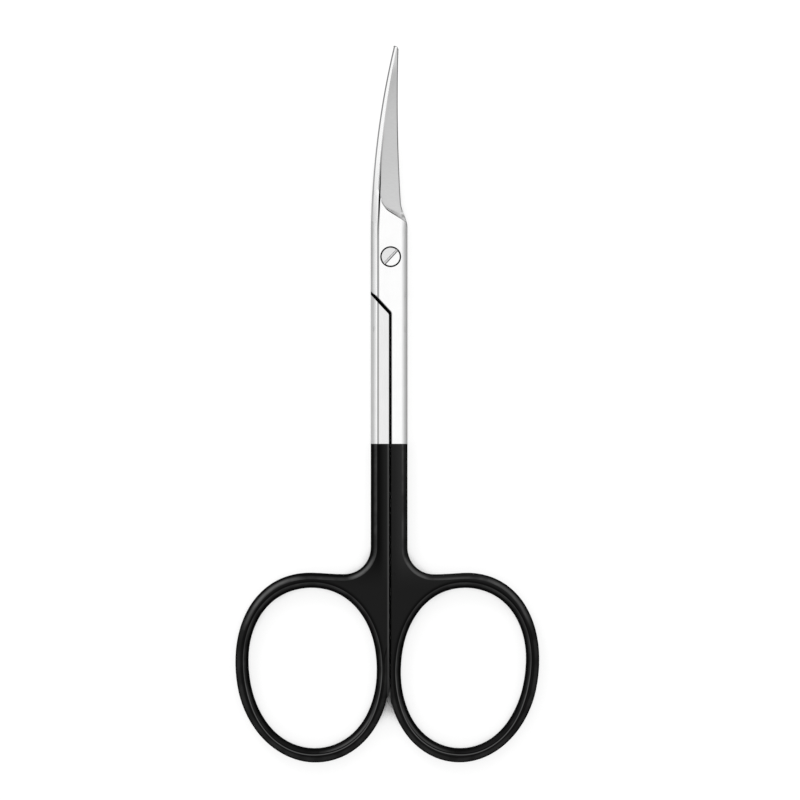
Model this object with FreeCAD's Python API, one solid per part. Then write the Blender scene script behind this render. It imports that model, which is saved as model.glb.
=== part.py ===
"""Curved iris scissors, closed and lying flat on their underside.

Three pieces make the pair: an upper half and a lower half, each forged in one piece from blade tip to
finger ring, and the slotted pivot screw that holds them together.  The halves cross at a lap joint of half
thickness, and below it both shanks and both rings are full thickness and lie side by side.

Frame: the pivot axis is Z and crosses the resting face at the origin.  +Y points to the blade tips, +X to
the ring of the upper half, +Z up, away from the table.  Millimetres.
"""

import FreeCAD, Part
import math
import os
from FreeCAD import Vector

# Thickness of the closed pair
thickness = 3.10
lap_clearance = 0.06

# Shanks, measured sideways from the pivot axis
shank_left = 3.20
shank_right = 2.70
gap_width = 0.30
gap_centre_x = -0.12

# Lap joint shoulders, which run down from each side to the gap
shoulder_y = -5.80
shoulder_angle = 47.0
shoulder_gap = 0.40
shoulder_corner_round = 0.50

# Facets along the edges: part of a large rounding, from a crease at the flat to a slope at the outline
left_facet_radius = 2.00
right_facet_radius = 1.85
hole_facet_radius = 1.70
facet_outer_slope = 46.0
edge_crease = 0.045

# Rounding of each shank's edge at the gap and the shoulder
gap_edge_left = 0.07
gap_edge_right = 0.36

# Finger rings: egg-shaped hole and outside, each leaning outwards at the top
ring_spacing = 24.23
ring_middle_x = -0.425
hole_centre_y = -65.51
upper_hole_half_width = 9.99
lower_hole_half_width = 10.27
hole_half_height_up = 12.35
hole_half_height_down = 13.45
upper_ring_lean = 5.9
lower_ring_lean = 4.3
band_side = 2.04
rim_lowering = 1.02
band_top = 3.45
band_bottom = 1.28
rim_extra_lean = 2.3
fullness_up = 2.13
hole_fullness_down = 2.10
rim_fullness_down = 2.01
shank_to_ring_radius = 4.25
ring_top_dip = 0.24
ring_contact_radius = 10.0
ring_contact_turn = 40.0

# Blades in plan
spine_start_y = 3.00
spine_radius = 131.0
edge_waist_x = 1.12
edge_waist_y = 25.00
edge_radius = 260.0
heel_low_y = 4.60
heel_high_y = 8.60
tip_x = 0.85
tip_y = 33.75
tip_edge_length = 0.75
tip_back_length = 1.15
lower_blade_inset = 0.10

# Blades in section
blade_curve_start = 6.5
blade_curve_radius = 65.0
tip_thickness = 0.70
tip_back_width = 0.56
tip_facet_radius = 1.00
edge_land = 0.05
edge_bevel_width = 0.18
edge_bevel_height = 0.20

# Step where the ground face of a blade begins
step_depth = 0.40
grind_least_depth = 0.06
step_start_y = 9.60
step_fade_y = 16.0
step_radius = 2.30
step_angle = 34.0
step_run_out = 1.45
step_reach_y = 10.60
step_fade_slope = 0.30

# Pivot screw
head_diameter = 3.06
head_side_clearance = 0.16
head_depth = 0.85
head_chamfer = 0.10
pivot_diameter = 2.00
pivot_clearance = 0.03
thread_diameter = 1.60
slot_width = 0.36
slot_depth = 0.42
slot_angle = 47.0

# How far cutting shapes reach past the model, past another cutter, and past an edge that they share
beyond = 12.0
margin = 1.0
overlap = 0.05

lap_z = thickness / 2
upper_ring_x = ring_spacing / 2 + ring_middle_x
lower_ring_x = ring_spacing / 2 - ring_middle_x
rim_centre_y = hole_centre_y - rim_lowering
ring_bottom_y = rim_centre_y - hole_half_height_down - band_bottom
most_slope = math.sin(math.radians(facet_outer_slope))
far = abs(ring_bottom_y) + beyond


def dish(x, y):
    """Rise of the surface on which the blades meet: a dish about the pivot axis, so they slide on it."""
    run = max(0.0, math.hypot(x, y) - blade_curve_start)
    return blade_curve_radius - math.sqrt(blade_curve_radius**2 - run**2)


def smooth_step(value, low, high):
    """0 up to low, 1 from high on, and a smooth rise between."""
    share = min(1.0, max(0.0, (value - low) / (high - low)))
    return share * share * (3 - 2 * share)


def left_outline(y):
    """Left side of the closed blades: straight at the joint, then an arc towards the tip."""
    rise = max(0.0, y - spine_start_y)
    return -shank_left + spine_radius - math.sqrt(spine_radius**2 - rise**2)


def edge_arc(y):
    """Right side of the closed blades above the heel."""
    return edge_waist_x + edge_radius - math.sqrt(edge_radius**2 - (y - edge_waist_y) ** 2)


def right_outline(y, low=heel_low_y, high=heel_high_y):
    """Right side of the closed blades, with the heel where the shank comes in to the cutting edge."""
    return edge_arc(y) + (shank_right - edge_arc(y)) * (1 - smooth_step(y, low, high))


def line(start, end):
    """Straight edge."""
    return Part.LineSegment(start, end).toShape()


def arc(start, middle, end):
    """Circular edge through three points."""
    return Part.Arc(start, middle, end).toShape()


def spline(points, start_direction, end_direction):
    """Smooth edge through points, with given directions at its ends."""
    curve = Part.BSplineCurve()
    curve.interpolate(Points=points, InitialTangent=start_direction, FinalTangent=end_direction)
    return curve.toShape()


def arc_towards(start, heading, end):
    """Circular edge that leaves start in the given direction and arrives at end."""
    chord = end - start
    side = heading.cross(chord).z
    half = math.atan2(abs(side), heading.dot(chord)) / 2
    across = Vector(chord.y, -chord.x, 0) * (0.5 * math.tan(half) * (1 if side > 0 else -1))
    if half < 1e-6:
        return line(start, end)
    return arc(start, start + chord * 0.5 + across, end)


def arcs_through(points, headings):
    """Chain of arcs through points, each span two arcs, that has the given heading at every point."""
    chain = []
    for start, end, leave, arrive in zip(points, points[1:], headings, headings[1:]):
        chord = end - start
        spread = 2 * (1 - leave.dot(arrive))
        pull = chord.dot(leave + arrive)
        if spread < 1e-9:
            reach = chord.dot(chord) / (2 * pull)
        else:
            reach = (math.sqrt(pull**2 + spread * chord.dot(chord)) - pull) / spread
        middle = (start + end + (leave - arrive) * reach) * 0.5
        back = arc_towards(end, arrive * -1, middle)
        chain += [arc_towards(start, leave, middle), back]
    return chain


def prism(edges, low, high):
    """Upright solid between two levels over the plan that the edges enclose."""
    face = Part.Face(Part.Wire(Part.__sortEdges__(edges)))
    face.translate(Vector(0, 0, low))
    return face.extrude(Vector(0, 0, high - low))


def edges_along(solid, chain):
    """The solid's edges that lie over the plan edges of chain, without the upright ones."""
    found = []
    for edge in solid.Edges:
        first, last = edge.Vertexes[0].Point, edge.Vertexes[-1].Point
        upright = math.hypot(first.x - last.x, first.y - last.y) < 1e-4 and abs(first.z - last.z) > 1e-4
        middle = edge.valueAt((edge.FirstParameter + edge.LastParameter) / 2)
        spot = Part.Vertex(Vector(middle.x, middle.y, 0))
        if not upright and min(spot.distToShape(plan)[0] for plan in chain) < 1e-3:
            found.append(edge)
    return found


def edges_at(solid, chain, level):
    """The edges that edges_along finds, at one level only."""
    return [edge for edge in edges_along(solid, chain) if abs(edge.CenterOfMass.z - level) < 1e-4]


def facet_width(radius):
    """Width in plan of an edge's facet, from the outline to the crease at the flat."""
    return radius * most_slope - math.sqrt(radius**2 - (radius - edge_crease) ** 2)


class Half:
    """One half of the pair.

    Sideways places are given as u, which is positive towards the half's own shank and ring.  The half
    crosses the joint in its long layer, and in its short layer it ends at the shoulder below the joint.
    """

    def __init__(self, side, ring_x, ring_lean, hole_half_width):
        self.side = side
        self.ring_lean = ring_lean
        self.own = shank_right if side > 0 else shank_left
        self.other = shank_left if side > 0 else shank_right
        self.own_facet = right_facet_radius if side > 0 else left_facet_radius
        self.back_facet = left_facet_radius if side > 0 else right_facet_radius
        self.gap_edge = gap_edge_right if side > 0 else gap_edge_left
        self.ring_x = ring_x
        self.hole_half_width = hole_half_width
        self.lap_face = lap_z + side * lap_clearance / 2
        self.layer_thickness = (thickness - lap_clearance) / 2
        self.gap_face = side * gap_centre_x + gap_width / 2

    def at(self, u, y, z=0.0):
        """Point in the model's frame."""
        return Vector(self.side * u, y, z)

    def egg(self, centre_y, half_width, up, down, lean, degrees):
        """Point of an egg-shaped outline that leans outwards.  up and down are (half height, fullness)."""
        angle = math.radians(degrees)
        height, fullness = up if math.sin(angle) >= 0 else down
        reach = abs(math.cos(angle) / half_width) ** fullness + abs(math.sin(angle) / height) ** fullness
        radius = reach ** (-1 / fullness)
        turned = angle - math.radians(lean)
        return self.at(self.ring_x + radius * math.cos(turned), centre_y + radius * math.sin(turned))

    def hole_point(self, degrees):
        """Point of the finger hole."""
        up, down = (hole_half_height_up, fullness_up), (hole_half_height_down, hole_fullness_down)
        return self.egg(hole_centre_y, self.hole_half_width, up, down, self.ring_lean, degrees)

    def rim_point(self, degrees):
        """Point of the ring's outside."""
        half_width = self.hole_half_width + band_side
        up = (hole_half_height_up + band_top, fullness_up)
        down = (hole_half_height_down + band_bottom, rim_fullness_down)
        return self.egg(rim_centre_y, half_width, up, down, self.ring_lean + rim_extra_lean, degrees)

    def heading(self, place, degrees):
        """Direction in which an outline's place moves as its angle falls."""
        return (place(degrees - 0.1) - place(degrees + 0.1)).normalize()

    def left_of(self, heading):
        """Direction outwards from an outline that runs in the given heading."""
        return Vector(-heading.y, heading.x, 0) * self.side

    def outline(self, own_grow=0.0, back_grow=0.0):
        """Edges in plan, grown outwards: the half's own side, the joint's far side, and what closes them."""
        turns = [90 + self.ring_lean + rim_extra_lean - 30 * k for k in range(10)]
        rim = [self.rim_point(degrees) for degrees in turns]
        web_y = rim[0].y - ring_top_dip
        side_end = self.at(self.own, web_y + shank_to_ring_radius)
        web_end = self.at(self.own + shank_to_ring_radius, web_y)
        headings = [self.at(0, -1), self.at(1, 0)]
        headings += [self.heading(self.rim_point, degrees) for degrees in turns]
        turn = math.radians(ring_contact_turn)
        leave, left = headings[-1], self.left_of(headings[-1])
        contact_end = rim[-1] + (leave * math.sin(turn) + left * (1 - math.cos(turn))) * ring_contact_radius
        headings.append(leave * math.cos(turn) + left * math.sin(turn))
        points = [side_end, web_end] + rim + [contact_end]
        points = [point + self.left_of(heading) * own_grow for point, heading in zip(points, headings)]
        run_out = points[-1] + headings[-1] * beyond
        side_top = self.at(self.own + own_grow, spine_start_y)
        far_top = self.at(-self.other - back_grow, spine_start_y)
        lap_bottom = shoulder_y - 2 * (self.own + self.other) * math.tan(math.radians(shoulder_angle))
        far_corner = self.at(-self.other - back_grow, lap_bottom)
        own_side = [line(side_top, points[0])] + arcs_through(points, headings)
        own_side.append(line(points[-1], run_out))
        return own_side, [line(far_corner, far_top)], [line(run_out, far_corner), line(far_top, side_top)]

    def faceted(self, level, inwards):
        """Tall solid that starts at a level and has the facets along its sides there."""
        sides = self.outline(self.own_facet * (1 - most_slope), self.back_facet * (1 - most_slope))
        block = prism(sum(sides, []), *sorted((level, level + inwards)))
        block = block.makeFillet(self.own_facet, edges_at(block, sides[0], level))
        return block.makeFillet(self.back_facet, edges_at(block, sides[1], level))

    def handle_blank(self):
        """Shank, web and ring with their outside facets, before the hole, the gap and the lap are cut."""
        blank = prism(sum(self.outline(), []), -beyond, thickness + beyond)
        blank = blank.common(self.faceted(thickness + edge_crease, -far))
        return blank.common(self.faceted(-edge_crease, far))

    def hole_slab(self):
        """Wide solid with the finger hole and its facets in it."""
        turns = [-30 * k for k in range(13)]
        points = [self.hole_point(degrees) for degrees in turns]
        headings = [self.heading(self.hole_point, degrees) for degrees in turns]
        slab = Part.makeBox(2 * far, 2 * far, 2 * far, Vector(-far, -far, -far))
        slab = slab.cut(prism(arcs_through(points, headings), -far - margin, far + margin))
        grow = hole_facet_radius * (1 - most_slope)
        points = [point - self.left_of(heading) * grow for point, heading in zip(points, headings)]
        rim = arcs_through(points, headings)
        for level, inwards in ((thickness + edge_crease, -beyond), (-edge_crease, beyond)):
            low, high = sorted((level, level + inwards))
            block = Part.makeBox(2 * far, 2 * far, high - low, Vector(-far, -far, low))
            block = block.cut(prism(rim, low - margin, high + margin))
            slab = slab.common(block.makeFillet(hole_facet_radius, edges_at(block, rim, level)))
        return slab

    def layer(self, corners, corner_number, low, high):
        """Plate over a plan outline with one rounded corner, its outer edges rounded beside the gap."""
        before, corner, after = (corners[(corner_number + k) % len(corners)] for k in (-1, 0, 1))
        to_before, to_after = (before - corner).normalize(), (after - corner).normalize()
        half_turn = to_before.getAngle(to_after) / 2
        run = shoulder_corner_round / math.tan(half_turn)
        bisector = (to_before + to_after).normalize()
        centre = corner + bisector * (shoulder_corner_round / math.sin(half_turn))
        start, end = corner + to_before * run, corner + to_after * run
        middle = centre - bisector * shoulder_corner_round
        chain = [line(before, start), arc(start, middle, end), line(end, after)]
        rest = [corners[(corner_number + 1 + k) % len(corners)] for k in range(len(corners) - 1)]
        plate = prism(chain + [line(a, b) for a, b in zip(rest, rest[1:])], low, high)
        outer = thickness if high > lap_z + lap_clearance else 0.0
        return plate.makeFillet(self.gap_edge, edges_at(plate, chain, outer))

    def keep(self):
        """All the space that belongs to this half: its long layer and its short layer."""
        slope = math.tan(math.radians(shoulder_angle))
        offset = shoulder_gap / 2 / math.cos(math.radians(shoulder_angle))
        u_end = -self.other - beyond
        y_end = shoulder_y + beyond * slope + offset
        y_corner = shoulder_y - (self.gap_face + self.other) * slope + offset
        long_plan = [(self.gap_face, -far), (self.gap_face, y_corner), (u_end, y_end)]
        long_plan += [(u_end, far), (far, far), (far, -far)]
        u_start = self.own + shoulder_gap
        y_start = shoulder_y + shoulder_gap * slope - offset
        y_inner = shoulder_y - (self.own - self.gap_face) * slope - offset
        short_plan = [(self.gap_face, -far), (self.gap_face, y_inner), (u_start, y_start)]
        short_plan += [(far, y_start), (far, -far)]
        bounds = [(self.lap_face, thickness), (0.0, self.lap_face)]
        long_bounds, short_bounds = bounds if self.side > 0 else reversed(bounds)
        long_layer = self.layer([self.at(*p) for p in long_plan], 1, *long_bounds)
        short_layer = self.layer([self.at(*p) for p in short_plan], 1, *short_bounds)
        return long_layer.fuse(short_layer)

    def spine(self, y):
        """Sideways place of the blade's back.  The lower blade stays just inside the upper one."""
        if self.side > 0:
            return left_outline(y)
        inset = lower_blade_inset * smooth_step(y, spine_start_y, heel_high_y)
        return -(right_outline(y, spine_start_y, heel_high_y - (heel_low_y - spine_start_y)) - inset)

    def edge(self, y):
        """Sideways place of the cutting edge and the heel below it."""
        if self.side > 0:
            return right_outline(y)
        return -left_outline(y) - lower_blade_inset * smooth_step(y, heel_low_y, heel_high_y)

    def face_z(self, u, y, outwards=0.0):
        """Height of the blade's inner face, or of a place that lies outwards from it."""
        return self.lap_face + dish(u, y) + self.side * outwards

    def taper(self, y, start, end, power=1):
        """Size that goes from start at the joint to end at the tip, evenly unless power says later."""
        return start + (end - start) * max(0.0, (y - spine_start_y) / (tip_y - spine_start_y)) ** power

    def back_width(self, y):
        """Width in plan of the facet along the blade's back."""
        return self.taper(y, facet_width(self.back_facet), tip_back_width, 2)

    def blank_section(self, y):
        """Section across the unground blade: inner face, back facet, flat outside and far facet."""
        thick = self.taper(y, self.layer_thickness, tip_thickness)

        def facet(u, inwards, width, radius):
            """Facet from the upright wall at u to the crease, which lies inwards from it."""
            crease = math.asin(most_slope - width / radius)
            steep = math.radians(facet_outer_slope)
            slopes = [steep, (steep + crease) / 2, crease]
            places = []
            for slope in slopes:
                place = u + inwards * radius * (most_slope - math.sin(slope))
                places.append((place, thick - radius * (math.cos(crease) - math.cos(slope))))
            return [self.at(place, y, self.face_z(place, y, out)) for place, out in places]

        back_u, far_u = self.spine(y), self.own
        back = facet(back_u, 1, self.back_width(y), self.taper(y, self.back_facet, tip_facet_radius))
        front = facet(far_u, -1, facet_width(self.own_facet), self.own_facet)
        back_foot = self.at(back_u, y, self.face_z(back_u, y))
        front_foot = self.at(far_u, y, self.face_z(far_u, y))
        return Part.Wire([
            line(back_foot, back[0]),
            arc(*back),
            line(back[2], front[2]),
            arc(front[2], front[1], front[0]),
            line(front[0], front_foot),
            line(front_foot, back_foot),
        ])

    def grind_section(self, y):
        """Section of the space that grinding clears, from the back's crest down to the cutting edge."""
        crest_u = self.spine(y) + self.back_width(y) - overlap
        depth = step_depth + (grind_least_depth - step_depth) * smooth_step(y, step_start_y, step_fade_y)
        thick = self.taper(y, self.layer_thickness, tip_thickness)
        edge_u = self.edge(y)
        bevel_slope = (edge_bevel_height - edge_land) / edge_bevel_width
        reach = 2 * step_radius
        corners = [
            (crest_u - 2 * step_depth, thick + 2 * step_depth),
            (crest_u + depth, thick - depth),
            (edge_u - edge_bevel_width, edge_bevel_height),
            (edge_u + reach, edge_land - bevel_slope * reach),
            (edge_u + reach, thick + beyond),
            (crest_u - 2 * step_depth, thick + beyond),
        ]
        base = self.face_z(edge_u, y)
        points = [self.at(u, y, base + self.side * out) for u, out in corners]
        return Part.makePolygon(points + [points[0]])

    def grinding(self):
        """The cleared space, which starts at a curved step across the blade's root."""
        last = tip_y + step_radius
        rows = [spine_start_y + (last - spine_start_y) * k / 12 for k in range(13)]
        space = Part.makeLoft([self.grind_section(y) for y in rows], True, False)
        start_u = self.spine(step_start_y) + self.back_width(step_start_y) + step_depth
        centre_u = start_u + step_radius
        turn = 270 - step_angle

        def on_step(degrees):
            """Point of the arc that the step follows across the blade."""
            angle = math.radians(degrees)
            u = centre_u + step_radius * math.cos(angle)
            return self.at(u, step_start_y + step_radius * math.sin(angle))

        start, middle, end = on_step(180), on_step((180 + turn) / 2), on_step(turn)
        run = self.own + beyond - self.side * end.x
        out = self.at(self.side * end.x + run, end.y - run * math.tan(math.radians(step_angle)))
        corners = [out, self.at(self.own + beyond, far), self.at(start_u, far), start]
        edges = [arc(start, middle, end), line(end, out)]
        edges += [line(a, b) for a, b in zip(corners, corners[1:])]
        return space.common(self.step_space(edges, start_u))

    def step_space(self, edges, start_u):
        """Space in front of the step, whose wall curves out at its foot as a grinding wheel leaves it."""
        outside = thickness if self.side > 0 else 0.0
        foot = outside - self.side * step_run_out
        near = prism(edges, *sorted((foot, self.side * far)))
        near = near.makeFillet(step_run_out * 0.98, edges_at(near, edges[:2] + edges[-1:], foot))
        corners = [(start_u, step_start_y), (start_u + step_run_out, step_reach_y)]
        corners += [(far, step_reach_y), (far, far)]
        corners.append((start_u - step_fade_slope * (far - step_start_y), far))
        ahead = [line(self.at(*a), self.at(*b)) for a, b in zip(corners, corners[1:] + corners[:1])]
        return near.fuse(prism(ahead, -far, far))

    def blade_plan(self):
        """Upright space inside the blade's plan: the cutting edge, the heel and the rounded tip."""
        count = 8
        heel = [heel_low_y + (heel_high_y - heel_low_y) * k / count for k in range(count + 1)]
        points = [self.at(self.edge(y), y) for y in heel]
        point = self.at(self.side * tip_x, tip_y if self.side > 0 else tip_y - lower_blade_inset)
        low_y, high_y, back_y = heel_high_y, point.y - tip_edge_length, point.y - tip_back_length
        edge_points = [self.at(self.edge(y), y) for y in (low_y, (low_y + high_y) / 2, high_y)]
        tip_end = self.at(self.spine(back_y) - overlap, back_y)
        outside_u = self.spine(back_y) - beyond
        wide_u, low_end = self.own + margin, spine_start_y - margin
        edges = [
            spline(points, self.at(0, 1), edge_points[1] - edge_points[0]),
            arc(*edge_points),
            arc(edge_points[2], point, tip_end),
            line(tip_end, self.at(outside_u, back_y)),
            line(self.at(outside_u, back_y), self.at(outside_u, low_end)),
            line(self.at(outside_u, low_end), self.at(wide_u, low_end)),
            line(self.at(wide_u, low_end), self.at(wide_u, heel_low_y)),
            line(self.at(wide_u, heel_low_y), points[0]),
        ]
        return prism(edges, -far, far)

    def blade(self):
        """The blade: a curved bar trimmed to its plan and ground from the crest to the cutting edge."""
        rows = [spine_start_y + (tip_y + 0.5 - spine_start_y) * k / 14 for k in range(15)]
        bar = Part.makeLoft([self.blank_section(y) for y in rows], True, False)
        return bar.common(self.blade_plan()).cut(self.grinding())

    def build(self):
        """The whole half, without its screw hole."""
        handle = self.handle_blank().common(self.keep()).common(self.hole_slab())
        return handle.fuse([self.blade()], 1e-4)


def cylinder(diameter, low, high):
    """Upright cylinder on the pivot axis."""
    return Part.makeCylinder(diameter / 2, high - low, Vector(0, 0, low))


def screw_heights():
    """Heights of the screw's head top, head underside and lap."""
    top = thickness - edge_crease / 2
    return top, thickness - head_depth, lap_z


def pivot_screw():
    """Slotted screw: a flat head, a bearing that the upper half turns on, and a plain end below it."""
    top, seat, lap = screw_heights()
    head = cylinder(head_diameter, seat, top)
    rim = [e for e in head.Edges if abs(e.CenterOfMass.z - top) < 1e-6 and len(e.Vertexes) == 1]
    head = head.makeChamfer(head_chamfer, rim)
    body = head.fuse([cylinder(pivot_diameter, lap, seat), cylinder(thread_diameter, edge_crease / 2, lap)])
    slot = Part.makeBox(2 * head_diameter, slot_width, head_depth)
    slot.translate(Vector(-head_diameter, -slot_width / 2, top - slot_depth))
    slot.rotate(Vector(0, 0, 0), Vector(0, 0, 1), slot_angle)
    return body.cut(slot).removeSplitter()


def upper_half():
    """Upper half with the bearing hole and the recess for the screw's head."""
    half = Half(1, upper_ring_x, upper_ring_lean, upper_hole_half_width).build()
    seat = thickness - head_depth - lap_clearance / 2
    recess = cylinder(head_diameter + 2 * head_side_clearance, seat, thickness + beyond)
    bore = cylinder(pivot_diameter + 2 * pivot_clearance, -beyond, thickness + beyond)
    return half.cut(recess.fuse(bore))


def lower_half():
    """Lower half with the hole that holds the screw's lower end."""
    half = Half(-1, lower_ring_x, lower_ring_lean, lower_hole_half_width).build()
    return half.cut(cylinder(thread_diameter, -beyond, thickness + beyond))


def main():
    """Builds the three pieces and writes one STEP file for each."""
    os.makedirs("parts", exist_ok=True)
    pieces = {"upper_half": upper_half(), "lower_half": lower_half(), "pivot_screw": pivot_screw()}
    for name, shape in pieces.items():
        print(name, "valid", shape.isValid(), "solids", len(shape.Solids), "volume", round(shape.Volume, 2))
        shape.exportStep(os.path.join("parts", name + ".step"))


if __name__ == "__main__":
    main()
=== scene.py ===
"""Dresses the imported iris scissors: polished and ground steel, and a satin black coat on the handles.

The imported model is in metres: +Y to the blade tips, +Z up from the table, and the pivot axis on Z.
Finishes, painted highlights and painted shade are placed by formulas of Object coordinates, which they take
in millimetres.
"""

import logging
import math
from dataclasses import dataclass
from enum import Enum
from typing import List, Sequence, Tuple, Union

import bmesh
import bpy
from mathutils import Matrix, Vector

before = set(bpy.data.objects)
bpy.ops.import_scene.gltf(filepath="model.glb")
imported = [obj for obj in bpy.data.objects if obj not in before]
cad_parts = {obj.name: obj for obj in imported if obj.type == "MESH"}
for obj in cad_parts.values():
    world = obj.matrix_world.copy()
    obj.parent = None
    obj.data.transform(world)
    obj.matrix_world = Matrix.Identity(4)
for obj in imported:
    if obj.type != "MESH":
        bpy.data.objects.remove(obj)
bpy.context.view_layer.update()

LOG = logging.getLogger("iris_scissors")

MM = 0.001
IN_MILLIMETRES = (1000, 1000, 1000)

Socket = bpy.types.NodeSocket
Number = Union[float, "Field"]
Span = Tuple[float, float]
"""Where a change starts and ends."""
Ramp = Tuple[float, float, float, float]
"""Where a change starts and ends, and the results up to there and from there on."""
Stripe = Tuple[float, float, float]
"""Centre, half width and softness of a band."""

MOST_NOISE: Span = (0.3, 0.7)
NEARLY_ALL_NOISE: Span = (0.25, 0.75)
TINY = 0.01
"""Keeps 0 out of roots, powers and quotients."""


@dataclass(frozen=True)
class Field:
    """A number that varies over a surface, with arithmetic that adds shader nodes."""

    kit: "NodeKit"
    socket: Socket

    def __add__(self, other: Number) -> "Field":
        """Sum."""
        return self.kit.math("ADD", self, other)

    def __radd__(self, other: float) -> "Field":
        """Sum."""
        return self.kit.math("ADD", other, self)

    def __sub__(self, other: Number) -> "Field":
        """Difference."""
        return self.kit.math("SUBTRACT", self, other)

    def __rsub__(self, other: float) -> "Field":
        """Difference."""
        return self.kit.math("SUBTRACT", other, self)

    def __mul__(self, other: Number) -> "Field":
        """Product."""
        return self.kit.math("MULTIPLY", self, other)

    def __rmul__(self, other: float) -> "Field":
        """Product."""
        return self.kit.math("MULTIPLY", other, self)

    def __truediv__(self, other: Number) -> "Field":
        """Quotient."""
        return self.kit.math("DIVIDE", self, other)

    def __abs__(self) -> "Field":
        """Size without sign."""
        return self.kit.math("ABSOLUTE", self, 0.0)

    def at_least(self, other: Number) -> "Field":
        """The larger of two."""
        return self.kit.math("MAXIMUM", self, other)

    def at_most(self, other: Number) -> "Field":
        """The smaller of two."""
        return self.kit.math("MINIMUM", self, other)

    def below(self, other: Number) -> "Field":
        """1 where this is below the other, and 0 elsewhere."""
        return self.kit.math("LESS_THAN", self, other)

    def root(self) -> "Field":
        """Square root."""
        return self.kit.math("SQRT", self, 0.0)

    def wave(self) -> "Field":
        """Sine."""
        return self.kit.math("SINE", self, 0.0)

    def squared(self) -> "Field":
        """Square."""
        return self.kit.math("MULTIPLY", self, self)

    def power(self, other: float) -> "Field":
        """Power."""
        return self.kit.math("POWER", self, other)

    def rise(self, low: Number, high: Number, start: Number = 0.0, end: Number = 1.0) -> "Field":
        """Smooth change from start at low to end at high, and level beyond both.

        Args:
            low: Where the change starts.
            high: Where the change ends.
            start: Result up to low.
            end: Result from high on.

        Returns:
            The result.
        """
        node = self.kit.add("ShaderNodeMapRange", interpolation_type="SMOOTHSTEP")
        for index, item in enumerate((self, low, high, start, end)):
            self.kit.feed(node.inputs[index], item)
        return Field(self.kit, node.outputs["Result"])

    def fall(self, low: Number, high: Number) -> "Field":
        """Smooth change from 1 at low to 0 at high, and level beyond both."""
        return self.rise(low, high, 1.0, 0.0)

    def band(self, centre: Number, half_width: Number, softness: float) -> "Field":
        """1 within about a half width of a centre and 0 beyond, with a change as wide as the softness."""
        return abs(self - centre).fall(half_width - softness / 2, half_width + softness / 2)


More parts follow.
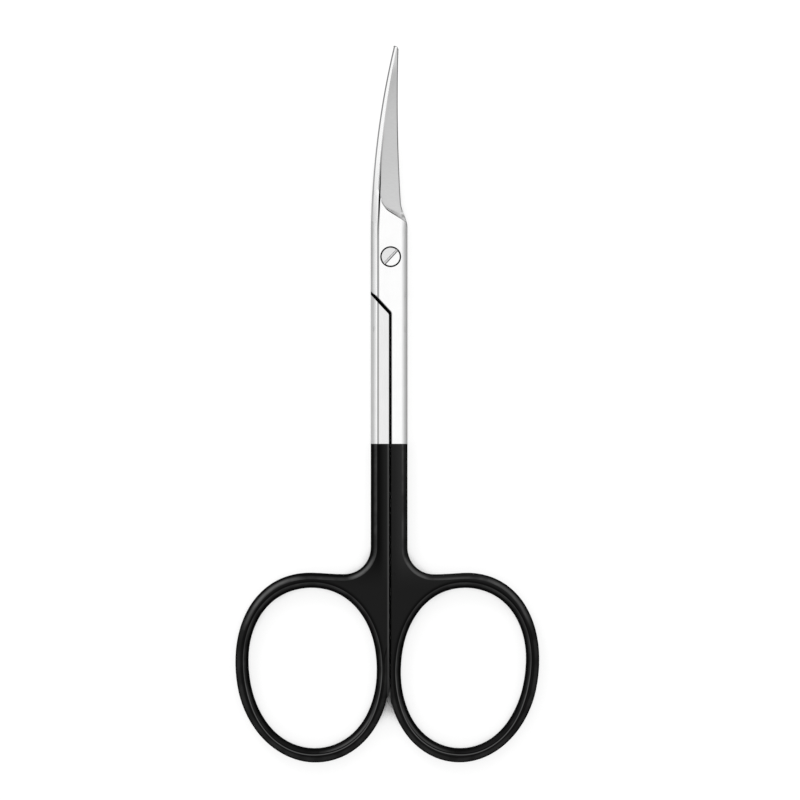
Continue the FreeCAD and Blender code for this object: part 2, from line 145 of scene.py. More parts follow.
@dataclass
class NodeKit:
    """Adds and wires the nodes of one tree."""

    tree: bpy.types.NodeTree
    count: int = 0

    def add(self, kind: str, **settings: object) -> bpy.types.Node:
        """Adds a node.

        Args:
            kind: The node's type name.
            **settings: Properties to set on it.

        Returns:
            The new node.
        """
        node = self.tree.nodes.new(kind)
        node.location = (200 * (self.count % 12), -220 * (self.count // 12))
        self.count += 1
        for name, value in settings.items():
            setattr(node, name, value)
        return node

    def feed(self, socket: Socket, value: object) -> None:
        """Links a socket, or sets its default value.

        Args:
            socket: The input to fill.
            value: A field, another socket or a constant.
        """
        value = value.socket if isinstance(value, Field) else value
        if isinstance(value, bpy.types.NodeSocket):
            self.tree.links.new(value, socket)
        else:
            socket.default_value = value

    def math(self, operation: str, first: Number, second: Number) -> Field:
        """Adds a Math node.

        Args:
            operation: The operation's name.
            first: First operand.
            second: Second operand.

        Returns:
            The result.
        """
        node = self.add("ShaderNodeMath", operation=operation)
        self.feed(node.inputs[0], first)
        self.feed(node.inputs[1], second)
        return Field(self, node.outputs[0])

    def blend(self, share: Field, low: Number, high: Number) -> Field:
        """Goes from low to high by share.

        Args:
            share: 0 for low, 1 for high.
            low: Value at 0.
            high: Value at 1.

        Returns:
            The blended value.
        """
        node = self.add("ShaderNodeMix", data_type="FLOAT")
        for name, value in (("Factor", share), ("A", low), ("B", high)):
            self.feed(node.inputs[name], value)
        return Field(self, node.outputs["Result"])

    def split(self, vector: Socket) -> List[Field]:
        """Splits a vector.

        Args:
            vector: The vector.

        Returns:
            Its X, Y and Z.
        """
        node = self.add("ShaderNodeSeparateXYZ")
        self.feed(node.inputs[0], vector)
        return [Field(self, socket) for socket in node.outputs]

    def scaled(self, vector: Socket, scale: Sequence[float], turn: float = 0.0) -> Socket:
        """Turns a vector about Z, and then scales it along each axis.

        Args:
            vector: The vector.
            scale: Factors along X, Y and Z.
            turn: Turn in degrees.

        Returns:
            The new vector.
        """
        for name, value in (("Rotation", (0.0, 0.0, math.radians(turn))), ("Scale", tuple(scale))):
            node = self.add("ShaderNodeMapping", vector_type="POINT")
            self.feed(node.inputs["Vector"], vector)
            self.feed(node.inputs[name], value)
            vector = node.outputs[0]
        return vector

    def noise(self, place: Socket, scale: float, detail: float = 3.0, roughness: float = 0.5) -> Field:
        """Adds a noise texture.

        Args:
            place: Where it is sampled.
            scale: Its scale.
            detail: Octaves.
            roughness: Share of the finer octaves.

        Returns:
            The noise, about 0.5 on average.
        """
        node = self.add("ShaderNodeTexNoise", noise_dimensions="3D")
        inputs = {"Vector": place, "Scale": scale, "Detail": detail, "Roughness": roughness}
        for name, value in inputs.items():
            self.feed(node.inputs[name], value)
        return Field(self, node.outputs["Fac"])

    def grey(self, value: Field) -> Socket:
        """Makes a grey colour.

        Args:
            value: Its level.

        Returns:
            The colour.
        """
        node = self.add("ShaderNodeCombineColor", mode="RGB")
        for index in range(3):
            self.feed(node.inputs[index], value)
        return node.outputs[0]

    def bump(self, height: Field, depth: float, strength: float) -> Socket:
        """Adds a bump.

        Args:
            height: Height, 0 to 1.
            depth: Depth of the bump in metres.
            strength: Strength of the bump.

        Returns:
            The bumped normal.
        """
        node = self.add("ShaderNodeBump")
        for name, value in (("Height", height), ("Distance", depth), ("Strength", strength)):
            self.feed(node.inputs[name], value)
        return node.outputs[0]

    def surface(
        self, colour: Socket, roughness: Field, metallic: Number, normal: Socket, gloss: float
    ) -> None:
        """Ends a surface material.

        Args:
            colour: Base colour.
            roughness: Roughness.
            metallic: 1 for bare metal and 0 for a coat.
            normal: Bumped normal.
            gloss: Specular level of what isn't metal.
        """
        shader = self.add("ShaderNodeBsdfPrincipled")
        self.feed(shader.inputs["Base Color"], colour)
        self.feed(shader.inputs["Roughness"], roughness)
        self.feed(shader.inputs["Metallic"], metallic)
        self.feed(shader.inputs["Normal"], normal)
        shader.inputs["Specular IOR Level"].default_value = gloss
        output = self.add("ShaderNodeOutputMaterial")
        self.feed(output.inputs["Surface"], shader.outputs[0])


def new_material(name: str) -> Tuple[bpy.types.Material, NodeKit]:
    """Makes an empty node material.

    Args:
        name: Its name.
    """
    material = bpy.data.materials.new(name)
    material.use_nodes = True
    material.node_tree.nodes.clear()
    return material, NodeKit(material.node_tree)


class Half(Enum):
    """The two forgings. The value is the side of the half's own shank: +1 for +X."""

    UPPER = 1
    LOWER = -1


@dataclass(frozen=True)
class Plan:
    """Lines of the forgings in plan, in millimetres."""

    shoulder_y: float = -5.80
    shoulder_slope: float = math.tan(math.radians(47))
    shank_left: float = 3.20
    shank_right: float = 2.70
    spine_start: float = 3.00
    spine_radius: float = 131.0
    edge_x: float = 1.12
    edge_y: float = 25.0
    edge_radius: float = 260.0
    heel_low: float = 4.60
    heel_high: float = 8.60
    inset: float = 0.10
    tip_y: float = 33.75
    facet_left: float = 1.017
    facet_right: float = 0.925
    back_at_tip: float = 0.56
    ground_depth: Ramp = (9.40, 16.0, 0.40, 0.06)
    step_start_upper: float = -1.43
    step_start_lower: float = 0.04
    step_y: float = 9.40
    step_radius: float = 2.57
    step_angle: float = 32.0
    coat_y: float = -30.04
    ring_spacing: float = 24.23
    ring_middle_x: float = -0.425
    hole_y: float = -65.51
    hole_half_width_upper: float = 9.99
    hole_half_width_lower: float = 10.27
    hole_up: float = 12.35
    hole_down: float = 13.45
    hole_fullness: float = 2.115
    lean_upper: float = 5.9
    lean_lower: float = 4.3

    def from_hole(self, u: Field, y: Field, half: Half) -> Field:
        """Distance outside the egg-shaped finger hole.

        Args:
            u: Sideways place, positive towards the half's own shank.
            y: Place along the scissors.
            half: The half.

        Returns:
            The distance, below 0 in the hole.
        """
        upper = half is Half.UPPER
        lean = math.radians(self.lean_upper if upper else self.lean_lower)
        width = self.hole_half_width_upper if upper else self.hole_half_width_lower
        across = u - (self.ring_spacing / 2 + self.ring_middle_x * half.value)
        up = y - self.hole_y
        turned = across * math.sin(lean) + up * math.cos(lean)
        height = self.hole_up + turned.below(0.0) * (self.hole_down - self.hole_up)
        wide = (abs(across * math.cos(lean) - up * math.sin(lean)) / width).power(self.hole_fullness)
        reach = (wide + (abs(turned) / height).power(self.hole_fullness)).at_least(TINY)
        return (across.squared() + up.squared()).root() * (1.0 - reach.power(-1 / self.hole_fullness))

    def left_side(self, y: Field) -> Field:
        """X of the closed blades' left side."""
        rise = (y - self.spine_start).at_least(0.0)
        return self.spine_radius - self.shank_left - (self.spine_radius**2 - rise.squared()).root()

    def right_side(self, y: Field, low: float, high: float) -> Field:
        """X of the closed blades' right side, with the heel between low and high."""
        arc = self.edge_x + self.edge_radius - (self.edge_radius**2 - (y - self.edge_y).squared()).root()
        return arc + (self.shank_right - arc) * y.fall(low, high)

    def back(self, y: Field, half: Half) -> Field:
        """Place of a blade's back.

        Args:
            y: Place along the scissors.
            half: The half.

        Returns:
            Its sideways place, positive towards the half's own shank.
        """
        if half is Half.UPPER:
            return self.left_side(y)
        high = self.heel_high - (self.heel_low - self.spine_start)
        right = self.right_side(y, self.spine_start, high)
        return y.rise(self.spine_start, self.heel_high, 0.0, self.inset) - right

    def crest(self, y: Field, half: Half) -> Field:
        """Place of the crest, where the facet of a blade's back ends.

        Args:
            y: Place along the scissors.
            half: The half.

        Returns:
            Its sideways place, positive towards the half's own shank.
        """
        facet = self.facet_left if half is Half.UPPER else self.facet_right
        share = ((y - self.spine_start) / (self.tip_y - self.spine_start)).at_least(0.0)
        return self.back(y, half) + facet + share.squared() * (self.back_at_tip - facet)

    def ground(self, u: Field, y: Field, half: Half) -> Field:
        """Distance inside the ground face: from the crest, and from the curved step at the blade's root.

        Args:
            u: Sideways place, positive towards the half's own shank.
            y: Place along the scissors.
            half: The half.

        Returns:
            The distance, below 0 outside the ground face.
        """
        from_crest = u - self.crest(y, half) - y.rise(*self.ground_depth)
        across = math.radians(self.step_angle)
        start = self.step_start_upper if half is Half.UPPER else self.step_start_lower
        right, up = u - start - self.step_radius, y - self.step_y
        from_step = right * math.sin(across) + up * math.cos(across) + self.step_radius
        from_centre = self.step_radius - (right.squared() + up.squared()).root()
        in_corner = up.below(0.0) * (right * math.cos(across) - up * math.sin(across)).below(0.0)
        return from_crest.at_most(from_step) * (1.0 - in_corner) + from_centre * in_corner


@dataclass
class Surface:
    """Place, normal and patterns on a piece, from its Object coordinates."""

    kit: NodeKit
    half: Half
    line_scale: Tuple[float, float, float] = (9000, 300, 9000)
    stroke_scale: Tuple[float, float, float] = (1500, 7000, 1500)
    stroke_turn: float = 12.0
    cloud_scale: float = 420.0
    patch_scale: float = 360.0
    grain_scale: float = 5200.0

    def __post_init__(self) -> None:
        """Adds the nodes that everything on the piece shares."""
        kit = self.kit
        source = kit.add("ShaderNodeTexCoord")
        metres = source.outputs["Object"]
        self.normal = kit.split(source.outputs["Normal"])
        self.upwards = abs(self.normal[2])
        self.outwards = self.normal[2] * self.half.value
        self.x, self.y, self.z = kit.split(kit.scaled(metres, IN_MILLIMETRES))
        self.u = self.x * self.half.value
        self.from_axis = (self.x.squared() + self.y.squared()).root()
        self.lines = kit.noise(kit.scaled(metres, self.line_scale), 1.0, 4.0, 0.6)
        self.clouds = kit.noise(metres, self.cloud_scale, 2.0)
        strokes = kit.scaled(metres, self.stroke_scale, self.stroke_turn * self.half.value)
        self.strokes = kit.noise(strokes, 1.0, 4.0, 0.65)
        self.patches = kit.noise(metres, self.patch_scale, 3.0, 0.55)
        self.grain = kit.noise(metres, self.grain_scale, 2.0, 0.6)

    def on_half(self, half: Half) -> float:
        """1 on one of the halves, and 0 on the other."""
        return 1.0 if self.half is half else 0.0


@dataclass(frozen=True)
class Polished:
    """Polished steel, with fine lines along the forging, a painted highlight at the crests and painted shade
    down the steep parts and on the lower half's flats.

    Spans named after a slope are of the normal's upward part: 1 on a flat, and less down a facet.
    """

    tone: float = 0.94
    flat_shade_of_lower_half: float = 0.80
    flat: Span = (0.975, 0.995)
    crest_highlight_tone: float = 1.0
    crest_start: Span = (0.900, 0.960)
    crest_end: Span = (0.980, 0.994)
    shank_to_joint: Span = (-6.2, -5.2)
    steep_shade_of_shank: float = 0.49
    steep_shade_of_joint: float = 0.38
    blade_rise: Ramp = (5.0, 17.0, 0.0, 0.59)
    slope_of_shank: Span = (0.83, 0.978)
    slope_of_joint: Span = (0.775, 0.985)
    steep_shade_of_right_side: float = 0.70
    slope_of_right_side: Span = (0.76, 0.945)
    line_contrast: float = 0.01
    cloud_contrast: float = 0.008
    roughness: float = 0.12
    roughness_of_lines: float = 0.18

    def tone_on(self, on: Surface) -> Field:
        """Tone: a painted highlight at the crests, and painted shade down the steep parts and on the lower
        half's flats.

        Args:
            on: The surface.

        Returns:
            The tone.
        """
        kit, y = on.kit, on.y
        # Painted shade: the lower half's flats are greyer.
        flats = on.normal[2].rise(*self.flat) * on.on_half(Half.LOWER)
        tone = kit.blend(flats, self.tone, self.flat_shade_of_lower_half)
        left = on.normal[0].below(0.0)
        # Painted highlight along the crests of the left-facing facets.
        crest = left * on.normal[2].rise(*self.crest_start) * on.normal[2].fall(*self.crest_end)
        tone = kit.blend(crest, tone, self.crest_highlight_tone)
        # Painted shade down the steep parts: on the left side, more along the blade, and on the right side.
        steep = y.rise(*self.shank_to_joint, self.steep_shade_of_shank, self.steep_shade_of_joint)
        low = y.rise(*self.shank_to_joint, self.slope_of_shank[0], self.slope_of_joint[0])
        high = y.rise(*self.shank_to_joint, self.slope_of_shank[1], self.slope_of_joint[1])
        tone = kit.blend(left * on.upwards.fall(low, high), tone, steep + y.rise(*self.blade_rise))
        right = (1.0 - left) * on.upwards.fall(*self.slope_of_right_side)
        tone = kit.blend(right, tone, self.steep_shade_of_right_side)
        lines = on.lines.rise(*MOST_NOISE, -self.line_contrast, self.line_contrast)
        return tone + lines + on.clouds.rise(*MOST_NOISE, -self.cloud_contrast, self.cloud_contrast)

    def roughness_on(self, on: Surface) -> Field:
        """Roughness, finer between the polishing lines."""
        return on.lines.rise(*NEARLY_ALL_NOISE, self.roughness, self.roughness_of_lines)


@dataclass(frozen=True)
class Ground:
    """Satin face left by the grinding wheel, with a painted shadow line where it runs out at the step, and
    painted shade near the step, the heel and the tip.
    """

    along: Ramp = (8.0, 30.0, 0.64, 0.74)
    at_tip: Ramp = (30.2, 32.6, 1.0, 0.80)
    stroke_contrast: float = 0.02
    step_shade: Ramp = (0.10, 0.90, 0.16, 0.0)
    step_shade_end: Ramp = (7.0, 8.4, 1.0, 0.1)
    heel_shade: Ramp = (1.55, 2.10, 0.0, 0.5)
    heel: Stripe = (6.80, 0.45, 0.40)
    step_shadow_tone: float = 0.04
    step_shadow_line: Stripe = (0.045, 0.10, 0.05)
    step_shadow_line_upper_part: Ramp = (7.5, 8.3, 1.0, 0.12)
    step_shadow_line_heel: Ramp = (5.9, 6.9, 0.4, 1.0)
    step_shadow_line_end: Span = (9.4, 10.4)
    edge: Span = (-0.03, 0.03)
    start: Span = (5.0, 5.6)
    outside: Span = (0.2, 0.4)
    roughness: float = 0.34
    roughness_of_strokes: float = 0.44

    def share_on(self, on: Surface, inside: Field) -> Field:
        """Share of ground face, from the distance inside it."""
        return inside.rise(*self.edge) * on.outwards.rise(*self.outside) * on.y.rise(*self.start)

    def tone_on(self, on: Surface, inside: Field) -> Field:
        """Tone, with the wheel's faint strokes, painted shade towards the step, the heel and the tip, and a
        painted shadow line along the step.

        Args:
            on: The surface.
            inside: Distance inside the ground face.

        Returns:
            The tone.
        """
        y = on.y
        tone = y.rise(*self.along) + on.strokes.rise(*MOST_NOISE, -self.stroke_contrast, self.stroke_contrast)
        # Painted shade near the step, at the heel and towards the tip.
        near_step = inside.rise(*self.step_shade) * y.rise(*self.step_shade_end)
        near_heel = on.x.rise(*self.heel_shade) * y.band(*self.heel)
        tone = tone * y.rise(*self.at_tip) * (1.0 - near_heel)
        # Painted shadow line along the step.
        line = inside.band(*self.step_shadow_line) * y.rise(*self.step_shadow_line_upper_part)
        line = line * y.rise(*self.step_shadow_line_heel) * y.fall(*self.step_shadow_line_end)
        return on.kit.blend(line, tone * (1.0 - near_step), self.step_shadow_tone)

    def roughness_on(self, on: Surface) -> Field:
        """Roughness, finer between the strokes."""
        return on.strokes.rise(*NEARLY_ALL_NOISE, self.roughness, self.roughness_of_strokes)


@dataclass(frozen=True)
class Coat:
    """Satin black coat, with painted highlights along the crests of the facets and beside the gap, and
    painted shade on the flats.
    """

    edge: float = 0.03
    flat: float = 0.009
    flat_slope: Span = (0.990, 0.998)
    flat_of_lower_shank: Ramp = (-2.1, -0.3, 0.0, 0.0134)
    flat_of_upper_shank: Ramp = (0.3, 2.0, 0.01139, 0.0201)
    web: Span = (-54.0, -46.0)
    flat_of_ring: Ramp = (0.95, 1.50, 0.10, 1.0)
    bottom: Span = (-78.0, -69.0)
    crest_start: Span = (0.84, 0.965)
    crest_end: Span = (0.964, 0.984)
    lower_shank_crest: float = 0.034
    upper_shank_facet: Ramp = (0.76, 0.82, 0.0, 0.008)
    upper_shank_crest: Ramp = (0.88, 0.965, 0.0, 0.030)
    upper_shank_crest_end: Span = (0.976, 0.992)
    ring_band_start: Ramp = (0.74, 0.85, 0.0, 0.014)
    ring_band_end: Span = (0.92, 0.965)
    ring_to_shank: Span = (-60.0, -56.0)
    hole_facet: Span = (0.95, 1.20)
    hole_crest: float = 0.020
    hole_crest_loss: float = 0.7
    patch_span: Span = (0.34, 0.66)
    patch_contrast: Span = (0.65, 1.3)
    crest_highlight: float = 0.075
    crest_highlight_place: float = 0.82
    crest_highlight_shift: float = 0.24
    crest_highlight_width: Span = (0.08, 0.07)
    crest_highlight_upper_part: Ramp = (-74.0, -58.0, 1.0, 0.15)
    highlight_turn_lower: float = 130.0
    highlight_turn_upper: float = 48.0
    highlight_lower: float = 0.068
    highlight_upper: float = 0.044
    highlight_facing: Span = (0.80, 1.0)
    highlight_start: Span = (0.80, 0.92)
    highlight_start_in_hole: Span = (0.08, 0.045)
    highlight_end: Span = (0.930, 0.962)
    highlight_end_in_hole: Span = (0.035, 0.025)
    beside_gap: Stripe = (-0.10, 0.55, 0.10)
    gap_edge: float = 0.052
    gap_edge_shade: Ramp = (-0.60, -0.28, 0.35, 1.0)
    gap_edge_start: Span = (-0.62, -0.52)
    gap_edge_end: Span = (-0.1, 0.0)
    roughness: float = 0.27
    roughness_of_patches: float = 0.39
    gloss: float = 0.04

    def share_on(self, on: Surface, plan: Plan) -> Field:
        """Share of coat."""
        return on.y.fall(plan.coat_y - self.edge, plan.coat_y + self.edge)

    def flats_on(self, on: Surface, from_hole: Field) -> Field:
        """Tone of the flats: painted shade across the shanks, even in the webs, and painted shade on the
        rings' flats near the hole.

        Args:
            on: The surface.
            from_hole: Distance outside the finger hole.

        Returns:
            The tone.
        """
        # Painted shade across the shank flats, and on the rings' flats near the hole.
        shank = on.x.rise(*(self.flat_of_lower_shank if on.half is Half.LOWER else self.flat_of_upper_shank))
        flats = on.kit.blend(on.y.rise(*self.web), self.flat, shank)
        return flats * from_hole.rise(*self.flat_of_ring)

    def facets_on(self, on: Surface, from_hole: Field) -> Field:
        """Tone of the facets: a painted highlight towards the crest, and on the rings' outside along their
        middle, with a painted highlight line along the hole's crest.

        Args:
            on: The surface.
            from_hole: Distance outside the finger hole.

        Returns:
            The tone.
        """
        upwards, bottom = on.upwards, on.y.fall(*self.bottom)
        # Painted highlight: lighter towards the crests of the facets, and along the middle of the rings'
        # outer facets.
        crest = upwards.rise(*self.crest_start) * upwards.fall(*self.crest_end)
        if on.half is Half.LOWER:
            shank = crest * self.lower_shank_crest
        else:
            shank = upwards.rise(*self.upper_shank_facet) + upwards.rise(*self.upper_shank_crest)
            shank = shank * upwards.fall(*self.upper_shank_crest_end)
        band = upwards.rise(*self.ring_band_start) * upwards.fall(*self.ring_band_end)
        outside = on.kit.blend(on.y.fall(*self.ring_to_shank), shank, band)
        inside = crest * self.hole_crest * (1.0 - bottom * self.hole_crest_loss)
        facets = on.kit.blend(from_hole.fall(*self.hole_facet), outside, inside)
        # Painted highlight line along the hole's crest, brighter and further out towards the bottom.
        place = bottom * self.crest_highlight_shift + self.crest_highlight_place
        line = from_hole.band(place, *self.crest_highlight_width) * on.y.rise(*self.crest_highlight_upper_part)
        return facets * on.patches.rise(*self.patch_span, *self.patch_contrast) + line * self.crest_highlight

    def highlight_on(self, on: Surface, from_hole: Field) -> Field:
        """Painted highlight where each ring's facets turn away from the other ring and up.

        Args:
            on: The surface.
            from_hole: Distance outside the finger hole.

        Returns:
            The extra tone.
        """
        lower = on.half is Half.LOWER
        turn = math.radians(self.highlight_turn_lower if lower else self.highlight_turn_upper)
        tilt = (1.0 - on.normal[2].squared()).at_least(TINY).root()
        # Painted highlight, strongest on facets that face the given turn.
        facing = (on.normal[0] * math.cos(turn) + on.normal[1] * math.sin(turn)) / tilt
        hole = from_hole.fall(*self.hole_facet)
        start = [hole * shift + place for shift, place in zip(self.highlight_start_in_hole, self.highlight_start)]
        end = [hole * shift + place for shift, place in zip(self.highlight_end_in_hole, self.highlight_end)]
        strength = self.highlight_lower if lower else self.highlight_upper
        return facing.rise(*self.highlight_facing) * on.upwards.rise(*start) * on.upwards.fall(*end) * strength

    def tone_on(self, on: Surface, from_hole: Field) -> Field:
        """Tone all over the coat.

        Args:
            on: The surface.
            from_hole: Distance outside the finger hole.

        Returns:
            The tone.
        """
        flat = on.upwards.rise(*self.flat_slope)
        beside_gap = on.x.band(*self.beside_gap)
        facets = (self.facets_on(on, from_hole) + self.highlight_on(on, from_hole)) * (1.0 - beside_gap)
        # Painted highlight along the lower half's edge beside the gap.
        edge = on.x.rise(*self.gap_edge_shade) * on.x.rise(*self.gap_edge_start)
        edge = edge * on.x.fall(*self.gap_edge_end) * on.on_half(Half.LOWER) * self.gap_edge
        return self.flats_on(on, from_hole) * flat.at_least(beside_gap) + facets + edge

    def roughness_on(self, on: Surface) -> Field:
        """Roughness, uneven as a hand-rubbed coat is."""
        return on.patches.rise(*MOST_NOISE, self.roughness, self.roughness_of_patches)


@dataclass(frozen=True)
class RecessShade:
    """Painted shade: a dark, rough colour on the gap's walls, in the slot beside the shoulder and around the
    screw's head.
    """

    tone: float = 0.0006
    roughness: float = 0.95
    upright: Span = (0.25, 0.45)
    wall_left: Span = (-3.12, -3.02)
    wall_right: Span = (2.50, 2.60)
    wall_top: Span = (-1.5, -1.0)
    lap_slope: Span = (0.8, 0.95)
    lap_low: Span = (0.1, 0.3)
    lap_high: Span = (2.8, 3.0)
    slot: Stripe = (0.0, 0.42, 0.2)
    recess: Stripe = (1.6, 0.11, 0.02)
    recess_high: Span = (3.02, 3.06)

    def share_on(self, on: Surface, plan: Plan) -> Field:
        """Share of painted shade.

        Args:
            on: The surface.
            plan: The forgings' plan.

        Returns:
            The share, 0 to 1.
        """
        across = on.x.rise(*self.wall_left) * on.x.fall(*self.wall_right)
        walls = on.upwards.fall(*self.upright) * across * on.y.fall(*self.wall_top)
        lap = on.upwards.rise(*self.lap_slope) * on.z.rise(*self.lap_low) * on.z.fall(*self.lap_high)
        left = on.y - plan.shoulder_y + (on.x + plan.shank_left) * plan.shoulder_slope
        right = on.y - plan.shoulder_y + (plan.shank_right - on.x) * plan.shoulder_slope
        slot = lap * left.band(*self.slot).at_least(right.band(*self.slot))
        around_screw = on.from_axis.band(*self.recess) * on.z.fall(*self.recess_high)
        return walls.at_least(slot).at_least(around_screw)


@dataclass(frozen=True)
class CreaseShade:
    """Painted shade: a dark line along the crest of a facet, on the joint, the blade's root and the shank."""

    tone_at_root: Ramp = (2.5, 9.0, 0.34, 0.0)
    tone_above: Ramp = (11.0, 17.0, 0.0, 0.42)
    place_at_root: Ramp = (4.0, 8.0, 0.165, 0.252)
    place_above: Ramp = (11.0, 16.0, 0.0, 0.14)
    width_at_root: Ramp = (4.0, 7.0, 0.168, 0.145)
    width_above: Ramp = (9.2, 11.2, 0.0, 0.035)
    softness: float = 0.05
    end: Span = (16.0, 22.0)
    facing: Span = (0.5, 0.7)
    shank_place: float = 0.16
    shank_width: Span = (0.14, 0.06)

    def tone_on(self, on: Surface) -> Field:
        """Tone of the painted shade line."""
        return on.y.rise(*self.tone_at_root) + on.y.rise(*self.tone_above)

    def share_on(self, on: Surface, plan: Plan) -> Field:
        """Share of the painted shade line.

        Args:
            on: The surface.
            plan: The forgings' plan.

        Returns:
            The share, 0 to 1.
        """
        place = on.y.rise(*self.place_at_root) - on.y.rise(*self.place_above)
        width = on.y.rise(*self.width_at_root) - on.y.rise(*self.width_above)
        from_crest = on.u - plan.crest(on.y, on.half) - place
        on_joint = from_crest.band(0.0, width, self.softness) * on.y.fall(*self.end)
        on_joint = on_joint * on.outwards.rise(*self.facing)
        upper = on.half is Half.UPPER
        facet = plan.facet_right if upper else plan.facet_left
        side = plan.shank_right if upper else plan.shank_left
        inwards = (on.normal[2] * -on.half.value).rise(*self.facing)
        on_shank = on.u.band(side - facet - self.shank_place, *self.shank_width) * inwards
        return on_joint.at_least(on_shank)


@dataclass(frozen=True)
class RimShade:
    """Painted shade: thin dark lines along a blade's back, its tip and its cutting edge."""

    back_tone: Ramp = (8.0, 28.0, 0.34, 0.24)
    back: Stripe = (0.18, 0.11, 0.05)
    back_start: Span = (4.0, 10.0)
    tip: Span = (0.16, 0.08)
    edge_tone: Ramp = (10.0, 20.0, 0.34, 0.10)
    edge: Span = (0.09, 0.17)
    edge_start: Span = (4.4, 5.4)
    outside: Span = (0.2, 0.4)

    def drawn(self, on: Surface, plan: Plan, tone: Field) -> Field:
        """Paints the shade lines over a tone.

        Args:
            on: The surface.
            plan: The forgings' plan.
            tone: The tone below them.

        Returns:
            The tone with the lines.
        """
        if on.half is Half.UPPER:
            from_edge = plan.right_side(on.y, plan.heel_low, plan.heel_high) - on.x
        else:
            from_edge = on.x - plan.left_side(on.y) - plan.inset
        from_back = on.u - plan.back(on.y, on.half)
        outside = on.outwards.rise(*self.outside)
        back = from_back.band(*self.back) * on.y.rise(*self.back_start)
        tip = on.y.rise(plan.tip_y - self.tip[0], plan.tip_y - self.tip[1])
        edge = from_edge.fall(*self.edge) * on.y.rise(*self.edge_start)
        tone = on.kit.blend(back.at_least(tip) * outside, tone, on.y.rise(*self.back_tone))
        return on.kit.blend(edge * outside, tone, on.y.rise(*self.edge_tone))


@dataclass
class Forging:
    """One forged half, and the material that carries all its finishes, painted highlights and painted shade.
    """

    name: str
    half: Half
    plan: Plan = Plan()
    polished: Polished = Polished()
    ground: Ground = Ground()
    rim_shade: RimShade = RimShade()
    crease_shade: CreaseShade = CreaseShade()
    coat: Coat = Coat()
    recess_shade: RecessShade = RecessShade()
    bump_depth: float = 0.004 * MM
    bump_strength: float = 0.25

    def build(self) -> bpy.types.Material:
        """Builds the material.

        Returns:
            The material.
        """
        material, kit = new_material(self.name)
        on = Surface(kit, self.half)
        inside = self.plan.ground(on.u, on.y, self.half)
        from_hole = self.plan.from_hole(on.u, on.y, self.half)
        ground, coat = self.ground.share_on(on, inside), self.coat.share_on(on, self.plan)
        recess_shade = self.recess_shade.share_on(on, self.plan)
        tone = kit.blend(ground, self.polished.tone_on(on), self.ground.tone_on(on, inside))
        # Painted shade lines along the rims and the crease, then the coat, and painted shade in the gap, the
        # slot and the screw's recess.
        tone = self.rim_shade.drawn(on, self.plan, tone)
        tone = kit.blend(self.crease_shade.share_on(on, self.plan), tone, self.crease_shade.tone_on(on))
        tone = kit.blend(recess_shade, kit.blend(coat, tone, self.coat.tone_on(on, from_hole)), self.recess_shade.tone)
        rough = kit.blend(ground, self.polished.roughness_on(on), self.ground.roughness_on(on))
        rough = kit.blend(recess_shade, kit.blend(coat, rough, self.coat.roughness_on(on)), self.recess_shade.roughness)
        metal = coat.at_least(recess_shade).fall(0.0, 1.0)
        height = kit.blend(coat, kit.blend(ground, on.lines, on.strokes), on.grain)
        normal = kit.bump(height, self.bump_depth, self.bump_strength)
        kit.surface(kit.grey(tone), rough, metal, normal, self.coat.gloss)
        return material


@dataclass
class Screw:
    """Turned steel screw with faint rings about its axis and a slot, with painted shade on the head beyond
    the slot, in the slot, along its lips and on its side in the recess.
    """

    name: str = "turned_steel_and_painted_shade"
    tone: float = 0.93
    shaded_tone_beyond_slot: float = 0.75
    beyond_slot: Span = (-0.1, 0.1)
    ring_pitch: float = 0.055
    ring_contrast: float = 0.012
    roughness: Span = (0.14, 0.2)
    bump_depth: float = 0.001 * MM
    bump_strength: float = 0.1
    gloss: float = 0.5
    side: Span = (1.51, 1.525)
    side_high: Span = (2.93, 2.97)
    side_shade_tone: float = 0.02
    slot_angle: float = 47.0
    slot: Stripe = (0.0, 0.19, 0.02)
    slot_high: Span = (3.00, 3.03)
    slot_shade_tone: float = 0.86
    slot_roughness: float = 0.5
    low_lip: Stripe = (-0.18, 0.075, 0.03)
    high_lip: Stripe = (0.15, 0.03, 0.03)
    lip_shade_tone: Ramp = (-0.05, 0.05, 0.12, 0.24)

    def build(self) -> bpy.types.Material:
        """Builds the material.

        Returns:
            The material.
        """
        material, kit = new_material(self.name)
        metres = kit.add("ShaderNodeTexCoord").outputs["Object"]
        x, y, z = kit.split(kit.scaled(metres, IN_MILLIMETRES))
        turn = math.radians(self.slot_angle)
        aside = y * math.cos(turn) - x * math.sin(turn)
        radius = (x.squared() + y.squared()).root()
        rings = (radius * (2 * math.pi / self.ring_pitch)).wave()
        side = radius.rise(*self.side) * z.fall(*self.side_high)
        in_slot = aside.band(*self.slot) * z.fall(*self.slot_high)
        lips = aside.band(*self.low_lip).at_least(aside.band(*self.high_lip))
        # Painted shade on the head beyond the slot, in the slot, along its lips and on the side in the
        # recess.
        tone = kit.blend(aside.rise(*self.beyond_slot), self.tone, self.shaded_tone_beyond_slot)
        tone = tone + rings.rise(-1.0, 1.0, -self.ring_contrast, self.ring_contrast)
        tone = kit.blend(in_slot, tone, self.slot_shade_tone)
        tone = kit.blend(lips, tone, aside.rise(*self.lip_shade_tone))
        tone = kit.blend(side, tone, self.side_shade_tone)
        rough = rings.rise(-1.0, 1.0, *self.roughness)
        rough = kit.blend(side.at_least(in_slot), rough, self.slot_roughness)
        normal = kit.bump(rings, self.bump_depth, self.bump_strength)
        kit.surface(kit.grey(tone), rough, 1.0, normal, self.gloss)
        return material


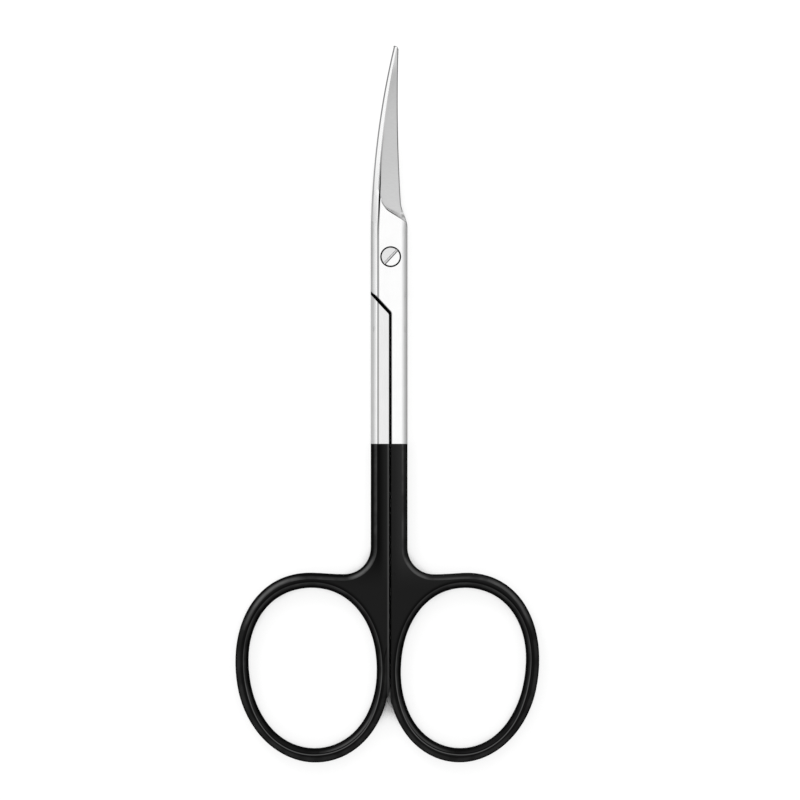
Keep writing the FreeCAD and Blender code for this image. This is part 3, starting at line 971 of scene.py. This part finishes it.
@dataclass(frozen=True)
class Lamp:
    """Soft square lamp."""

    name: str
    azimuth: float
    elevation: float
    size: float
    level: float
    distance: float = 0.5
    aim: Tuple[float, float, float] = (0, -0.023, 0)

    def build(self) -> None:
        """Makes the lamp, aimed at the middle of the scissors."""
        light = bpy.data.lights.new(self.name, "AREA")
        light.shape = "SQUARE"
        light.size = self.size
        light.energy = self.level * math.pi * self.size**2
        lamp = bpy.data.objects.new(self.name, light)
        bpy.context.scene.collection.objects.link(lamp)
        turn, lift = math.radians(self.azimuth), math.radians(self.elevation)
        away = Vector((math.cos(turn) * math.cos(lift), math.sin(turn) * math.cos(lift), math.sin(lift)))
        lamp.location = Vector(self.aim) + away * self.distance
        lamp.rotation_euler = away.to_track_quat("Z", "Y").to_euler()


@dataclass
class Studio:
    """White table, soft dome, lamps and a camera that looks straight down."""

    key: Lamp = Lamp("key", azimuth=125, elevation=36, size=0.16, level=6.0)
    fill: Lamp = Lamp("fill", azimuth=58, elevation=36, size=0.14, level=3.5)
    floor_half: float = 3.0
    floor_tone: float = 0.8
    floor_tone_seen: float = 0.30
    floor_glow: float = 0.76
    shade_reach: float = 4 * MM
    shade_samples: int = 8
    shade: Span = (0.25, 0.46)
    low_dome: Ramp = (0.0, 0.60, 0.40, 0.60)
    high_dome: Ramp = (0.60, 0.93, 0.0, 0.44)
    length_ratio: float = 0.6
    left_side: Span = (-0.85, -0.50)
    left_side_level: float = 1.00
    left_side_lean: float = 0.50
    camera_x: float = 1.497 * MM
    camera_y: float = -23.01 * MM
    frame_width: float = 128.57 * MM
    lens: float = 1000.0
    sensor: float = 36.0
    view_end: float = 20.0

    def build(self) -> None:
        """Makes it all."""
        self.floor()
        self.dome()
        self.key.build()
        self.fill.build()
        self.camera()

    def floor(self) -> None:
        """Makes the table top: white to the camera and in reflections, and dark where a gap shades it."""
        shape = bmesh.new()
        bmesh.ops.create_grid(shape, x_segments=1, y_segments=1, size=self.floor_half)
        mesh = bpy.data.meshes.new("table_top")
        shape.to_mesh(mesh)
        shape.free()
        top = bpy.data.objects.new("table_top", mesh)
        bpy.context.scene.collection.objects.link(top)
        material, kit = new_material("white_table")
        path = kit.add("ShaderNodeLightPath")
        seen = Field(kit, path.outputs["Is Camera Ray"]).at_least(Field(kit, path.outputs["Is Glossy Ray"]))
        seen = seen.at_least(Field(kit, path.outputs["Is Transmission Ray"]))
        open_sky = kit.add("ShaderNodeAmbientOcclusion", samples=self.shade_samples)
        open_sky.inputs["Distance"].default_value = self.shade_reach
        lit = Field(kit, open_sky.outputs["AO"]).rise(*self.shade)
        paper = kit.add("ShaderNodeBsdfDiffuse")
        tone = kit.blend(seen, self.floor_tone, lit * self.floor_tone_seen)
        kit.feed(paper.inputs["Color"], kit.grey(tone))
        glow = kit.add("ShaderNodeEmission")
        kit.feed(glow.inputs["Strength"], seen * lit * self.floor_glow)
        both = kit.add("ShaderNodeAddShader")
        kit.feed(both.inputs[0], paper.outputs[0])
        kit.feed(both.inputs[1], glow.outputs[0])
        output = kit.add("ShaderNodeOutputMaterial")
        kit.feed(output.inputs["Surface"], both.outputs[0])
        mesh.materials.append(material)

    def dome(self) -> None:
        """Makes a soft dome: bright overhead and to the left, longer along the scissors, greyer around."""
        world = bpy.data.worlds.new("soft_dome")
        bpy.context.scene.world = world
        world.use_nodes = True
        world.node_tree.nodes.clear()
        kit = NodeKit(world.node_tree)
        x, y = kit.split(kit.add("ShaderNodeTexCoord").outputs["Generated"])[:2]
        overhead = (1.0 - x.squared() - y.squared() * self.length_ratio**2).at_least(0.0).root()
        level = overhead.rise(*self.low_dome) + overhead.rise(*self.high_dome)
        aside = x + y.at_most(0.0) * self.left_side_lean
        level = kit.blend(aside.fall(*self.left_side), level, level.at_least(self.left_side_level))
        background = kit.add("ShaderNodeBackground")
        kit.feed(background.inputs["Strength"], level)
        background.inputs["Color"].default_value = (1, 1, 1, 1)
        output = kit.add("ShaderNodeOutputWorld")
        kit.feed(output.inputs["Surface"], background.outputs[0])

    def camera(self) -> None:
        """Adds a long-lens camera that looks straight down."""
        data = bpy.data.cameras.new("camera")
        data.lens = self.lens
        data.sensor_width = self.sensor
        data.clip_end = self.view_end
        camera = bpy.data.objects.new("camera", data)
        bpy.context.scene.collection.objects.link(camera)
        camera.location = (self.camera_x, self.camera_y, self.frame_width * self.lens / self.sensor)
        bpy.context.scene.camera = camera


def dress(node: str, material: bpy.types.Material) -> None:
    """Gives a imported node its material.

    Args:
        node: The node's name.
        material: The material.
    """
    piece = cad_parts[node]
    for index in range(len(piece.data.materials)):
        piece.data.materials[index] = material
    LOG.info("%s: %s", node, material.name)


def main() -> None:
    """Dresses the scissors and sets up the studio."""
    logging.basicConfig(level=logging.INFO, format="%(name)s: %(message)s")
    dress("upper_half", Forging("upper_half_finish_and_painted_light", Half.UPPER).build())
    dress("lower_half", Forging("lower_half_finish_and_painted_light", Half.LOWER).build())
    dress("pivot_screw", Screw().build())
    Studio().build()
    bpy.context.scene.view_settings.view_transform = "Standard"


if __name__ == "__main__":
    main()
